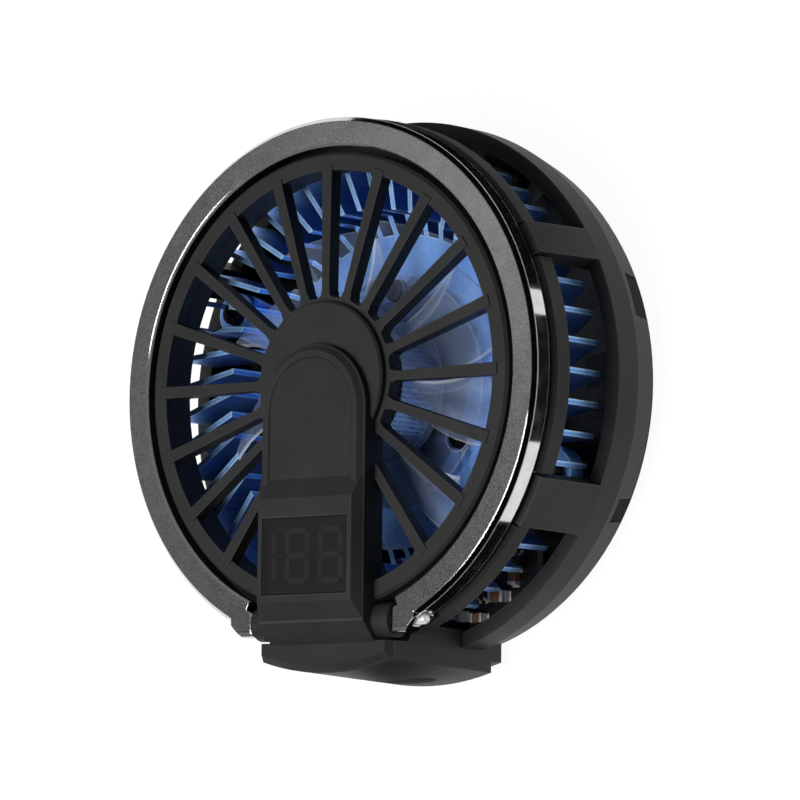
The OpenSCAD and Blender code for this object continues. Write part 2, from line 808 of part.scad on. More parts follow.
module magnets() {
    pitch = 360 / magnet_places;
    color(steel) for (k = [0 : magnet_places - 1]) if (len(search(k, magnet_free)) == 0)
        arc_sweep(k * pitch, pitch * magnet_fill)
            translate([magnet_r - magnet_w / 2, floor_top]) square([magnet_w, magnet_t]);
}

// Cooling element

module peltier_plate(z) {
    translate([-element_w / 2, -element_w / 2, z]) cube([element_w, element_w, ceramic_t]);
}

module peltier_cold_plate() {
    color([0.9, 0.9, 0.88]) peltier_plate(seat_top);
}

module peltier_hot_plate() {
    color([0.9, 0.9, 0.88]) peltier_plate(pellet_top);
}

module peltier_pellets() {
    pitch = element_w / pellet_rows;
    side = pitch * 0.6;
    color([0.35, 0.35, 0.37]) for (i = [0 : pellet_rows - 1], j = [0 : pellet_rows - 1])
        translate([(i + 0.5) * pitch - element_w / 2, (j + 0.5) * pitch - element_w / 2,
            cold_top + pellet_h / 2]) cube([side, side, pellet_h], center = true);
}

element_lead_r = 0.4;
element_lead_x = 3;
element_lead_z = board_z - element_lead_r - 0.05;

module peltier_leads() {
    color([0.6, 0.08, 0.06]) for (s = [-1, 1])
        translate([s * element_lead_x, -element_w / 2 - 0.1, element_lead_z]) rotate([90, 0, 0])
            cylinder(r = element_lead_r, h = board_in + 0.7 - element_w / 2);
}

module insulation_frame() {
    gap = 0.2;
    slot = element_lead_r + 0.15;
    color([0.08, 0.08, 0.08]) difference() {
        translate([0, 0, seat_top]) cylinder(r = seat_r - 0.2, h = sink_z - seat_top);
        cube([element_w + 2 * gap, element_w + 2 * gap, far], center = true);
        for (s = [-1, 1]) block([s * element_lead_x - slot, -far, element_lead_z - slot],
            [s * element_lead_x + slot, 0, far]);
    }
}

// Heat sink

fin_pitch = 360 / fin_count;
fin_phase = 5.28;

// Turn of a fin's root from the leads, between -180 and 180 degrees
function from_leads(a) = let (t = a - lead_deg + 180) t - 360 * floor(t / 360) - 180;
lead_free_low = -atan2((fin_r - sink_r) * tan(fin_sweep) + lead_slot + 0.6, sink_r);
lead_free_high = atan2(lead_slot + 0.5, sink_r);

function fin_kept(a) = from_leads(a) < lead_free_low || from_leads(a) > lead_free_high;

module fin_plan(a) {
    rotate(a) translate([sink_r - 0.8, 0]) rotate(fin_sweep) translate([0, -fin_t / 2])
        square([fin_r, fin_t]);
}

module board_plan(grow) {
    intersection() {
        difference() {
            circle(r = board_r + grow);
            circle(r = board_in - grow);
        }
        translate([-board_half - grow, -far]) square([2 * (board_half + grow), far - board_upper_y + grow]);
    }
}

module sink_keep_out() {
    translate([0, 0, -eps]) linear_extrude(board_top + root_air) board_plan(board_keep);
    translate([0, 0, -eps]) linear_extrude(board_top + board_air) difference() {
        board_plan(board_keep);
        circle(r = bowl_r + fin_neck);
    }
    block([-usb_w / 2 - 0.6, -far, 0], [usb_w / 2 + 0.6, -hinge_y + 3, usb_z + usb_h / 2 + 0.5]);
    block([-far, -far, 0], [far, -ribbon_y + 1, far]);
}

module heat_sink() {
    color(blue_anodised) difference() {
        union() {
            translate([0, 0, sink_z]) cylinder(r = sink_r, h = sink_base_t);
            translate([0, 0, lug_z]) linear_extrude(lug_t) for (a = lug_angles) rotate(a) {
                translate([lug_place_r, 0]) circle(r = lug_r);
                translate([sink_r - 1, -lug_r]) square([lug_place_r - sink_r + 1, 2 * lug_r]);
            }
            for (a = lug_angles) rotate(a) translate([lug_place_r, 0, lug_z])
                cylinder(r = lug_r, h = lug_top - lug_z);
            difference() {
                translate([0, 0, sink_z]) linear_extrude(fin_top - sink_z) intersection() {
                    circle(r = fin_r);
                    for (k = [0 : fin_count - 1]) let (a = k * fin_pitch + fin_phase)
                        if (fin_kept(a)) fin_plan(a);
                }
                translate([0, 0, sink_top]) cylinder(r = bowl_r, h = fin_h + 1);
                for (a = lug_angles) rotate(a) translate([lug_place_r, 0, lug_top - 0.3])
                    cylinder(r = lug_r - 0.05, h = fin_h);
                for (a = lug_angles) rotate(a) translate([lug_place_r, 0, 0])
                    cylinder(r = post_r + post_clear, h = lug_z + lug_t / 2);
                rotate_extrude() polygon([[fin_heel_r, 0], [fin_r + 1, 0], [fin_r + 1, fin_tip_z + 0.25],
                    [fin_r, fin_tip_z], [fin_heel_r, fin_heel_z]]);
                sink_keep_out();
            }
        }
        for (a = lug_angles) rotate(a) translate([lug_place_r, 0, sink_z - 1])
            cylinder(r = screw_hole_r, h = lug_top - sink_z + 2);
        for (a = base_screw_angles) rotate(a) translate([base_screw_place, 0, sink_top - screw_bite])
            cylinder(r = screw_r, h = screw_bite + 1);
    }
}

module sink_screws() {
    color([0.03, 0.03, 0.03]) for (a = lug_angles) rotate(a) translate([lug_place_r, 0, 0])
        screw(lug_top, lug_top - lug_z + screw_bite - 0.2);
}

// Main board

module main_pcb() {
    color([0.02, 0.03, 0.06]) difference() {
        translate([0, 0, board_z]) linear_extrude(board_t) board_plan(0);
        for (a = pcb_post_angles) rotate(a) translate([pcb_post_place, 0, 0])
            cylinder(r = screw_hole_r, h = far);
        for (s = [-1, 1]) translate([s * (block_half - block_wall / 2), 0, 0])
            block([-block_wall / 2 - board_gap, -far, 0],
                [block_wall / 2 + board_gap, board_gap - block_wall_y, far]);
    }
}

cap_l = 2;
cap_w = 1.25;
cap_h = 1.25;
cap_end = 0.4;
// Each capacitor's distance inside the board's edge, its angle, its turn
// and its size against the largest
cap_places = [[1.54, -60.2, 0, 1], [2.15, -54, 90, 0.8], [0.75, -67.7, 0, 0.8], [1.93, -73.6, 0, 1],
    [1.41, -119.6, 0, 1], [2.22, -126.5, 90, 0.8], [1.31, -113.3, 0, 0.8]];

// Sets its children down on the board, at a distance inside its edge and at an angle
module on_board(inset, angle) {
    translate([(board_r - inset) * cos(angle), (board_r - inset) * sin(angle), board_top]) children();
}

// Sets its children down at one capacitor's place, turn and size
module at_cap(p) {
    on_board(p[0], p[1]) rotate(p[2]) scale(p[3]) children();
}

module pcb_capacitors() {
    color([0.45, 0.27, 0.16]) for (p = cap_places) at_cap(p)
        translate([0, 0, cap_h / 2]) cube([cap_l - 2 * cap_end, cap_w, cap_h], center = true);
}

module pcb_cap_ends() {
    color([0.75, 0.75, 0.74]) for (p = cap_places, s = [-1, 1]) at_cap(p)
        translate([s * (cap_l - cap_end) / 2, 0, cap_h / 2])
            cube([cap_end, cap_w, cap_h], center = true);
}

chip_h = 1.1;
// Each chip's distance inside the board's edge, its angle, its length and its width
chip_places = [[4.25, -65.5, 3.6, 2.8], [4.48, -111.4, 5, 4], [3.28, -51.1, 1.6, 1.2],
    [5.63, -122.3, 2.2, 1.4]];

module pcb_chips() {
    color([0.03, 0.03, 0.03]) for (p = chip_places) on_board(p[0], p[1])
        translate([0, 0, chip_h / 2]) cube([p[2], p[3], chip_h], center = true);
}

module pcb_screws() {
    color(steel) for (a = pcb_post_angles) rotate(a) translate([pcb_post_place, 0, 0])
        screw(board_top, board_t + screw_bite - 0.2);
}

module usb_socket_shell() {
    color(steel) difference() {
        usb_body(0, usb_len - usb_mouth_y, -usb_mouth_y);
        usb_body(-usb_wall, usb_len - usb_mouth_y - 1, -usb_mouth_y - 1);
    }
}

module usb_socket_tongue() {
    tongue_w = 6.7;
    tongue_t = 0.7;
    color([0.04, 0.04, 0.04]) block([-tongue_w / 2, -usb_mouth_y + 0.8, usb_z - tongue_t / 2],
        [tongue_w / 2, usb_len - usb_mouth_y - 1, usb_z + tongue_t / 2]);
}

// Motor and impeller

module motor_base() {
    color(clear_plastic) difference() {
        union() {
            translate([0, 0, base_z]) cylinder(r = motor_base_r, h = motor_base_t);
            translate([0, 0, base_z]) cylinder(r = tube_r, h = coil_top - base_z);
        }
        translate([0, 0, base_top - 0.3]) cylinder(r = sleeve_r, h = far);
        for (a = base_screw_angles) rotate(a) translate([base_screw_place, 0, 0]) {
            cylinder(r = screw_r + 0.1, h = far);
            translate([0, 0, base_top - screw_head_t]) cylinder(r = screw_head_r + 0.1, h = far);
        }
        rotate(lead_deg + 90) block([-lead_slot, -far, 0], [lead_slot, -lead_y_in + 0.6, far]);
    }
}

module motor_base_screws() {
    color([0.03, 0.03, 0.03]) for (a = base_screw_angles) rotate(a) translate([base_screw_place, 0, 0])
        screw(base_top - screw_head_t, motor_base_t - screw_head_t + screw_bite - 0.2);
}

module bearing_sleeve() {
    color([0.72, 0.5, 0.25]) tube(shaft_r + shaft_clear, sleeve_r, base_top - 0.3, coil_top);
}

pole_count = 4;
pole_arm = 1.2;
shoe_t = 0.8;
shoe_deg = 62;

// One pole of the stator: an arm with a curved shoe
module pole_plan() {
    c = far * cos(shoe_deg / 2);
    s = far * sin(shoe_deg / 2);
    translate([0, -pole_arm / 2]) square([stator_r - shoe_t / 2, pole_arm]);
    intersection() {
        difference() {
            circle(r = stator_r);
            circle(r = stator_r - shoe_t);
        }
        polygon([[0, 0], [c, -s], [c, s]]);
    }
}

module stator_core() {
    stack_h = coil_top - coil_z - 2 * stack_inset;
    color([0.4, 0.4, 0.42]) translate([0, 0, coil_z + stack_inset]) linear_extrude(stack_h) difference() {
        union() {
            circle(r = tube_r + 0.7);
            for (k = [0 : pole_count - 1]) rotate(k * 360 / pole_count) pole_plan();
        }
        circle(r = tube_r);
    }
}

module stator_coils() {
    inner = tube_r + 0.75;
    half = pole_arm / 2 + 0.75;
    outer = sqrt(pow(stator_r - shoe_t - 0.15, 2) - pow(half, 2));
    color([0.6, 0.32, 0.12]) for (k = [0 : pole_count - 1]) rotate(k * 360 / pole_count) difference() {
        block([inner, -half, coil_z], [outer, half, coil_top]);
        block([0, -pole_arm / 2 - 0.05, coil_z + stack_inset - 0.05],
            [far, pole_arm / 2 + 0.05, coil_top - stack_inset + 0.05]);
    }
}

module motor_pcb() {
    color([0.02, 0.12, 0.05]) tube(tube_r, motor_board_r, base_top, base_top + motor_board_t);
}

// Two leads under the blades, from the motor's board over the disc and down to the main board
module fan_leads() {
    color([0.05, 0.05, 0.05]) rotate(lead_deg + 90) for (s = [-1, 1]) translate([s * lead_x, 0, 0]) {
        translate([0, -lead_y_in, lead_z]) rotate([90, 0, 0])
            cylinder(r = lead_r, h = lead_y_out - lead_y_in);
        translate([0, -lead_y_in, lead_z]) cylinder(r = lead_r, h = base_top - lead_z);
        translate([0, -lead_y_out, lead_z]) sphere(r = lead_r);
        translate([0, -lead_y_out, board_top]) cylinder(r = lead_r, h = lead_z - board_top);
    }
}

module motor_shaft() {
    color(steel) translate([0, 0, base_top - 0.2]) cylinder(r = shaft_r, h = cup_top - base_top + 0.2);
}

module rotor_cup() {
    color(steel) difference() {
        translate([0, 0, cup_z]) cylinder(r = cup_r, h = cup_top - cup_z);
        translate([0, 0, cup_z - eps]) cylinder(r = cup_in, h = cup_top - cup_wall - cup_z + eps);
        cylinder(r = shaft_r, h = far);
    }
}

module rotor_magnet() {
    color([0.1, 0.1, 0.11]) tube(magnet_ring_in, cup_in, cup_z + 0.2, cup_top - cup_wall - coil_gap);
}

// One blade: a curved strip that turns as it rises
module blade() {
    steps = 6;
    lean = 14;
    function radius(t) = blade_root + (impeller_r + 1 - blade_root) * t;
    function mid(t) = radius(t) * [cos(lean * t * t), sin(lean * t * t)];
    half = blade_t / 2;
    lead_side = [for (k = [0 : steps]) mid(k / steps) + [0, half]];
    trail_side = [for (k = [steps : -1 : 0]) mid(k / steps) - [0, half]];
    translate([0, 0, blade_low - 1]) rotate(-blade_turn)
        linear_extrude(height = cup_top + 1 - blade_low, twist = -blade_turn, slices = 10, $fn = 14)
            polygon(concat(lead_side, trail_side));
}

// Space swept by the blades
module blade_envelope() {
    rotate_extrude() polygon([[blade_root, cup_z + 0.15], [impeller_r, blade_low],
        [impeller_r, blade_tip_top], [blade_root, cup_top - 0.3]]);
}

module impeller() {
    first_blade = -3;
    round_r = 0.4;
    color(clear_plastic) union() {
        rotate_extrude() polygon([[cup_r, cup_z - 0.3], [fan_hub_r, cup_z - 0.3],
            [fan_hub_r, hub_front - round_r], [fan_hub_r - round_r, hub_front], [0, hub_front],
            [0, cup_top], [cup_r, cup_top]]);
        intersection() {
            for (k = [0 : blade_count - 1]) rotate(first_blade + k * 360 / blade_count) blade();
            blade_envelope();
        }
    }
}

ring_stand();
hinge_pins();
front_grille();
arm_cover();
display_lens();
digit_segments();
display_module();
display_pcb();
display_ribbon();
rear_shell();
contact_pad();
cold_plate();
magnets();
peltier_cold_plate();
peltier_pellets();
peltier_hot_plate();
peltier_leads();
insulation_frame();
heat_sink();
sink_screws();
main_pcb();
pcb_capacitors();
pcb_cap_ends();
pcb_chips();
pcb_screws();
usb_socket_shell();
usb_socket_tongue();
motor_base();
motor_base_screws();
bearing_sleeve();
stator_core();
stator_coils();
motor_pcb();
fan_leads();
motor_shaft();
rotor_cup();
rotor_magnet();
impeller();
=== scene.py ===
"""Phone cooling fan: camera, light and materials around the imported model."""
import math

import bmesh
import bpy
from mathutils import Matrix, Vector


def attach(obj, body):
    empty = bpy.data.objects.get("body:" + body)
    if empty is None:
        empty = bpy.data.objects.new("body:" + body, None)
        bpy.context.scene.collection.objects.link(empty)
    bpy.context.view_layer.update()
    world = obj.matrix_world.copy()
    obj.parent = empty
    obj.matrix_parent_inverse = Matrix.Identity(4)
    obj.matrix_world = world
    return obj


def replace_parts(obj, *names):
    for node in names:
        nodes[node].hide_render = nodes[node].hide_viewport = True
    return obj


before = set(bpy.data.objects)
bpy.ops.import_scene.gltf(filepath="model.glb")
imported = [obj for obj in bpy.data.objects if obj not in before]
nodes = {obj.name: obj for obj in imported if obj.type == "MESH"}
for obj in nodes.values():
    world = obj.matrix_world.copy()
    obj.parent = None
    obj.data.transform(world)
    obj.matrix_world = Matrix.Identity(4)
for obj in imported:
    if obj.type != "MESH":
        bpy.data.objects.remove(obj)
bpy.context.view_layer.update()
scene = bpy.context.scene
scene.view_settings.view_transform = "Standard"
MM = 0.001
MICRON = 0.000001

# Camera

CAMERA_AT = Vector((0.34823, -0.05865, 0.43525))
CAMERA_BACK = Vector((0.62865, -0.10423, 0.77067)).normalized()
CAMERA_UP = Vector((0.05638, 0.99448, 0.08850))
SENSOR = 36.0
LENS = 225.0
CLIP_NEAR = 0.01
CLIP_FAR = 20.0


def make_camera():
    data = bpy.data.cameras.new("camera")
    data.sensor_width = SENSOR
    data.lens = LENS
    data.clip_start = CLIP_NEAR
    data.clip_end = CLIP_FAR
    cam = bpy.data.objects.new("camera", data)
    scene.collection.objects.link(cam)
    right = CAMERA_UP.cross(CAMERA_BACK).normalized()
    up = CAMERA_BACK.cross(right)
    turn = Matrix((right, up, CAMERA_BACK)).transposed().to_4x4()
    cam.matrix_world = Matrix.Translation(CAMERA_AT) @ turn
    scene.camera = cam


make_camera()

# Node helpers

# Sockets of a Mix node by the kind of value: factor, first, second, result
MIX_COLOUR = ("RGBA", 0, 6, 7, 2)
MIX_NUMBER = ("FLOAT", 0, 2, 3, 0)
EDGE_SAMPLES = 4
OCCLUSION_SAMPLES = 6
# Inside occlusion at the crest of an outward edge, and where the edge no longer counts
EDGE_CREST = 0.62
EDGE_END = 0.93


def new_material(name):
    mat = bpy.data.materials.new(name)
    mat.use_nodes = True
    tree = mat.node_tree
    return mat, tree, tree.nodes["Principled BSDF"]


def put(tree, socket, value):
    if isinstance(value, bpy.types.NodeSocket):
        tree.links.new(value, socket)
    else:
        socket.default_value = value


def fill(tree, node, **inputs):
    """Sets a node's inputs, by socket name, to values or links."""
    for key, value in inputs.items():
        put(tree, node.inputs[key.replace("_", " ")], value)


def add(tree, kind, settings=None, **inputs):
    """A node with its settings and, by socket name, its input values or links."""
    node = tree.nodes.new(kind)
    for key, value in (settings or {}).items():
        setattr(node, key, value)
    fill(tree, node, **inputs)
    return node


def rgba(colour, factor=1.0):
    return [min(1.0, part * factor) for part in colour] + [1.0]


def place(tree):
    """Coordinates in the part's own frame, in metres."""
    return add(tree, "ShaderNodeTexCoord").outputs["Object"]


def stretched(tree, scale):
    """Those coordinates, scaled by axis."""
    return add(tree, "ShaderNodeMapping", Vector=place(tree), Scale=scale).outputs["Vector"]


def noise(tree, scale, detail=3.0, rough=0.6, vector=None):
    node = add(tree, "ShaderNodeTexNoise", Scale=scale, Detail=detail, Roughness=rough,
               Vector=vector or place(tree))
    return node.outputs["Fac"]


def spread(tree, value, low=0.0, high=1.0, start=0.3, end=0.7):
    """A value from start to end mapped to low to high."""
    node = add(tree, "ShaderNodeMapRange", Value=value,
               From_Min=start, From_Max=end, To_Min=low, To_Max=high)
    return node.outputs["Result"]


def mix(tree, factor, first, second, sockets=MIX_COLOUR):
    kind, *inputs, result = sockets
    node = add(tree, "ShaderNodeMix", {"data_type": kind})
    for index, value in zip(inputs, (factor, first, second)):
        put(tree, node.inputs[index], value)
    return node.outputs[result]


def math_node(tree, operation, first, second=0.0):
    node = add(tree, "ShaderNodeMath", {"operation": operation})
    put(tree, node.inputs[0], first)
    put(tree, node.inputs[1], second)
    return node.outputs[0]


def times(tree, first, second):
    return math_node(tree, "MULTIPLY", first, second)


def plus(tree, first, second):
    return math_node(tree, "ADD", first, second)


def between(tree, value, low, high):
    """One where a value lies between two bounds, else zero."""
    above = math_node(tree, "GREATER_THAN", value, low)
    return times(tree, above, math_node(tree, "LESS_THAN", value, high))


def bump(tree, height, depth, strength, normal=None):
    node = add(tree, "ShaderNodeBump", Strength=strength, Distance=depth, Height=height)
    if normal is not None:
        fill(tree, node, Normal=normal)
    return node.outputs["Normal"]


def soft_edge(tree, radius):
    """Normal of a softly rounded edge."""
    return add(tree, "ShaderNodeBevel", {"samples": EDGE_SAMPLES}, Radius=radius).outputs["Normal"]


def outer_edges(tree, reach):
    """One along outward edges, falling to zero within a small reach of them."""
    settings = {"inside": True, "only_local": True, "samples": OCCLUSION_SAMPLES}
    inner = add(tree, "ShaderNodeAmbientOcclusion", settings, Distance=reach)
    return spread(tree, inner.outputs["AO"], 1.0, 0.0, EDGE_CREST, EDGE_END)


def facing_axis(tree, normal=None):
    """How squarely a surface, or a given normal, faces along the fan's axis, either way."""
    if normal is None:
        normal = add(tree, "ShaderNodeNewGeometry").outputs["Normal"]
    settings = {"vector_type": "NORMAL", "convert_from": "WORLD", "convert_to": "OBJECT"}
    own = add(tree, "ShaderNodeVectorTransform", settings, Vector=normal)
    parts = add(tree, "ShaderNodeSeparateXYZ", Vector=own.outputs["Vector"])
    return math_node(tree, "ABSOLUTE", parts.outputs["Z"])


def from_axis(tree):
    """Distance from the fan's axis, and height, in metres."""
    at = add(tree, "ShaderNodeSeparateXYZ", Vector=place(tree)).outputs
    squares = plus(tree, times(tree, at["X"], at["X"]), times(tree, at["Y"], at["Y"]))
    return math_node(tree, "SQRT", squares), at["Z"]


def fed(bsdf, name):
    """What feeds an input of a shader."""
    return bsdf.inputs[name].links[0].from_socket


# Materials; noise scales are per metre

FINE_DETAIL = 2.0
CLOUD_DETAIL = 4.0
CLOUD_SCALE = 180.0
TONE_VARIATION = 0.18
GLOSS_VARIATION = 0.07
PLASTIC_SPECULAR = 0.35
GRAIN_STRENGTH = 0.6
# Reach of the painted highlight that lightens outer edges
EDGE_HIGHLIGHT_REACH = 0.22 * MM


def moulded(name, colour, rough, grain, depth, edge, specular=PLASTIC_SPECULAR, edge_highlight_tone=None):
    """Moulded plastic: fine grain, faint tone and gloss variation, soft edges, painted highlight on
    outer edges.
    """
    mat, tree, bsdf = new_material(name)
    cloud = spread(tree, noise(tree, CLOUD_SCALE, CLOUD_DETAIL))
    tone = mix(tree, cloud, rgba(colour, 1 - TONE_VARIATION), rgba(colour, 1 + TONE_VARIATION))
    # Outer edges lightened: a painted highlight
    if edge_highlight_tone is not None:
        tone = mix(tree, outer_edges(tree, EDGE_HIGHLIGHT_REACH), tone, rgba(colour, edge_highlight_tone))
    fine = noise(tree, grain, FINE_DETAIL)
    fill(tree, bsdf, Base_Color=tone, Specular_IOR_Level=specular,
         Roughness=spread(tree, fine, rough - GLOSS_VARIATION, rough + GLOSS_VARIATION),
         Normal=bump(tree, fine, depth, GRAIN_STRENGTH, soft_edge(tree, edge)))
    return mat


# Finger notches of the rear shell: wall taper, floor radius at the rear edge, height
TAPER_SLOPE = 0.9 / 4.75
NOTCH_R_LOW = 28.6 * MM
NOTCH_R_HIGH = 29.0 * MM
NOTCH_Z_LOW = 0.05 * MM
NOTCH_Z_HIGH = 3.78 * MM
# Painted shade that darkens the notch floors
NOTCH_PAINTED_SHADE = (0.004, 0.004, 0.0042)
NOTCH_EXTRA_ROUGH = 0.3


def shade_notch_floors(mat):
    """Darkens the floors of the finger notches in a moulded shell with painted shade, and makes
    them rougher.
    """
    tree = mat.node_tree
    bsdf = tree.nodes["Principled BSDF"]
    radius, height = from_axis(tree)
    shaded_sides = math_node(tree, "SUBTRACT", radius, times(tree, height, TAPER_SLOPE))
    shaded_floors = times(tree, between(tree, shaded_sides, NOTCH_R_LOW, NOTCH_R_HIGH),
                   between(tree, height, NOTCH_Z_LOW, NOTCH_Z_HIGH))
    # Notch floors darkened: painted shade
    fill(tree, bsdf,
         Base_Color=mix(tree, shaded_floors, fed(bsdf, "Base Color"), rgba(NOTCH_PAINTED_SHADE)),
         Roughness=plus(tree, fed(bsdf, "Roughness"), times(tree, shaded_floors, NOTCH_EXTRA_ROUGH)))
    return mat


# Just outside the grille's round opening
OPENING_R = 23.3 * MM
# Painted shade for the walls of the openings
WALL_PAINTED_SHADE = (0.010, 0.0098, 0.0095)
# How squarely the grille's surface faces along the axis: a wall below, a face above
WALL_FACING = 0.3
FACE_FACING = 0.6


def shade_opening_walls(mat):
    """Darkens the walls of the grille's openings with painted shade, between the textured front
    faces.
    """
    tree = mat.node_tree
    bsdf = tree.nodes["Principled BSDF"]
    radius, _ = from_axis(tree)
    inside = math_node(tree, "LESS_THAN", radius, OPENING_R)
    walls = spread(tree, facing_axis(tree), 1.0, 0.0, WALL_FACING, FACE_FACING)
    # Walls inside the opening darkened: painted shade
    painted_shade = times(tree, inside, walls)
    fill(tree, bsdf, Base_Color=mix(tree, painted_shade, fed(bsdf, "Base Color"), rgba(WALL_PAINTED_SHADE)))
    return mat


METAL_GRAIN = 2500.0
METAL_DEPTH = 4 * MICRON
METAL_STRENGTH = 0.4
METAL_EDGE = 40 * MICRON
METAL_VARIATION = 0.08
METAL_GLOSS = 0.25
EVEN = (1.0, 1.0, 1.0)


def metal(name, colour, rough, vary=METAL_VARIATION, stretch=EVEN, metallic=1.0):
    """Bare or plated metal with tone and gloss variation, its grain stretched by axis."""
    mat, tree, bsdf = new_material(name)
    fine = noise(tree, METAL_GRAIN, vector=stretched(tree, stretch))
    fill(tree, bsdf, Metallic=metallic,
         Base_Color=mix(tree, fine, rgba(colour, 1 - vary), rgba(colour, 1 + vary)),
         Roughness=spread(tree, fine, rough * (1 - METAL_GLOSS), rough * (1 + METAL_GLOSS)),
         Normal=bump(tree, fine, METAL_DEPTH, METAL_STRENGTH, soft_edge(tree, METAL_EDGE)))
    return mat


RING_EDGE = 160 * MICRON
# How squarely the ring's surface faces along the axis where its blasted faces begin and are full
BLAST_START = 0.955
BLAST_FULL = 0.985
BLAST_GRAIN = 6500.0
BLAST_NOISE = 0.7
BLAST_GRAIN_LOW = 0.35
BLAST_GRAIN_HIGH = 0.65
# Share of the fine grain in the tone; broad clouds make up the rest
BLAST_SHARE = 0.8
BLAST_DEPTH = 10 * MICRON
BLAST_STRENGTH = 0.15
BLAST_DARK = (0.093, 0.093, 0.095)
BLAST_LIGHT = (0.228, 0.228, 0.233)
BLAST_ROUGH = (0.25, 0.33)
RING_CLOUD = 420.0
POLISH_DARK = (0.58, 0.58, 0.60)
POLISH_LIGHT = (0.68, 0.68, 0.70)
POLISH_ROUGH = (0.05, 0.10)


def ring_metal():
    """Bead-blasted flat faces, mirror-polished sides and bevels."""
    mat, tree, bsdf = new_material("ring_metal")
    rounded = soft_edge(tree, RING_EDGE)
    face = spread(tree, facing_axis(tree, rounded), start=BLAST_START, end=BLAST_FULL)
    blast = noise(tree, BLAST_GRAIN, FINE_DETAIL, BLAST_NOISE)
    cloud = noise(tree, RING_CLOUD)
    grain = plus(tree, times(tree, blast, BLAST_SHARE), times(tree, cloud, 1 - BLAST_SHARE))
    grain = spread(tree, grain, start=BLAST_GRAIN_LOW, end=BLAST_GRAIN_HIGH)
    blasted = mix(tree, grain, rgba(BLAST_DARK), rgba(BLAST_LIGHT))
    polished = mix(tree, spread(tree, cloud), rgba(POLISH_DARK), rgba(POLISH_LIGHT))
    rough = mix(tree, face, spread(tree, cloud, *POLISH_ROUGH), spread(tree, blast, *BLAST_ROUGH),
                MIX_NUMBER)
    height = times(tree, blast, face)
    fill(tree, bsdf, Base_Color=mix(tree, face, polished, blasted), Metallic=1.0, Roughness=rough,
         Normal=bump(tree, height, BLAST_DEPTH, BLAST_STRENGTH, rounded))
    return mat


# Lines drawn along the axis
DRAWN_STRETCH = (1.0, 1.0, 0.06)
DRAWN_GRAIN = 2600.0
DRAWN_DEPTH = 6 * MICRON
DRAWN_STRENGTH = 0.5
DRAWN_ROUGH = (0.38, 0.50)
# Painted shade: darker tones of the sides
SHADED_SIDE_DARK = (0.11, 0.30, 0.78)
SHADED_SIDE_LIGHT = (0.20, 0.42, 0.92)
# Painted light: paler tones of faces along the axis, and a painted highlight along outer edges
LIT_FACE_DARK = (0.18, 0.41, 0.98)
LIT_FACE_LIGHT = (0.28, 0.52, 1.0)
SINK_EDGE_HIGHLIGHT = (0.48, 0.74, 1.0)
SINK_HIGHLIGHT_REACH = 0.3 * MM
# How squarely the sink's surface faces along the axis where its painted light begins and is full
LIT_FACE_START = 0.5
LIT_FACE_FULL = 0.9
SINK_EDGE = 60 * MICRON
SINK_METALLIC = 0.86


def anodised():
    """Blue anodised aluminium with fine drawn lines: painted shade on the sides, painted light on
    faces along the axis, painted highlight on outer edges.
    """
    mat, tree, bsdf = new_material("blue_aluminium")
    lines = noise(tree, DRAWN_GRAIN, vector=stretched(tree, DRAWN_STRETCH))
    level = spread(tree, lines)
    shaded_sides = mix(tree, level, rgba(SHADED_SIDE_DARK), rgba(SHADED_SIDE_LIGHT))
    # Painted light on faces along the axis, painted shade on the sides
    cut_or_lit = mix(tree, level, rgba(LIT_FACE_DARK), rgba(LIT_FACE_LIGHT))
    ends = spread(tree, facing_axis(tree), start=LIT_FACE_START, end=LIT_FACE_FULL)
    tone = mix(tree, ends, shaded_sides, cut_or_lit)
    # Outer edges lightened: a painted highlight
    fill(tree, bsdf, Metallic=SINK_METALLIC, Roughness=spread(tree, lines, *DRAWN_ROUGH),
         Base_Color=mix(tree, outer_edges(tree, SINK_HIGHLIGHT_REACH), tone, rgba(SINK_EDGE_HIGHLIGHT)),
         Normal=bump(tree, lines, DRAWN_DEPTH, DRAWN_STRENGTH, soft_edge(tree, SINK_EDGE)))
    return mat


CLEAR_DARK = (0.44, 0.58, 0.92)
CLEAR_LIGHT = (0.58, 0.72, 1.0)
# Painted highlight: the pale tone of the rims
CLEAR_RIM_HIGHLIGHT = (0.82, 0.86, 0.92)
CLEAR_HIGHLIGHT_REACH = 0.3 * MM
CLEAR_CLOUD = 260.0
# Cover of a face seen squarely, and what slant and the painted rim highlight add to it
CLEAR_COVER = (0.04, 0.10)
CLEAR_SLANT = 0.26
CLEAR_HIGHLIGHT_COVER = 0.22
CLEAR_IOR = 1.49
CLEAR_BLEND = 0.35
CLEAR_ROUGH = (0.10, 0.22)
CLEAR_GRAIN = 3000.0
CLEAR_DEPTH = 4 * MICRON
CLEAR_STRENGTH = 0.3


def clear_plastic():
    """Clear moulded plastic: faint flow clouds, denser where it is seen along its surface, rims
    paler and denser as a painted highlight.
    """
    mat, tree, bsdf = new_material("clear_plastic")
    cloud = noise(tree, CLEAR_CLOUD, CLOUD_DETAIL)
    # Rims paler and denser: a painted highlight
    rim_highlight = outer_edges(tree, CLEAR_HIGHLIGHT_REACH)
    tint = mix(tree, spread(tree, cloud), rgba(CLEAR_DARK), rgba(CLEAR_LIGHT))
    slant = add(tree, "ShaderNodeLayerWeight", Blend=CLEAR_BLEND).outputs["Facing"]
    cover = plus(tree, spread(tree, cloud, *CLEAR_COVER), times(tree, slant, CLEAR_SLANT))
    fine = noise(tree, CLEAR_GRAIN, FINE_DETAIL)
    fill(tree, bsdf, Base_Color=mix(tree, rim_highlight, tint, rgba(CLEAR_RIM_HIGHLIGHT)), IOR=CLEAR_IOR,
         Roughness=spread(tree, cloud, *CLEAR_ROUGH),
         Alpha=plus(tree, cover, times(tree, rim_highlight, CLEAR_HIGHLIGHT_COVER)),
         Normal=bump(tree, fine, CLEAR_DEPTH, CLEAR_STRENGTH))
    return mat


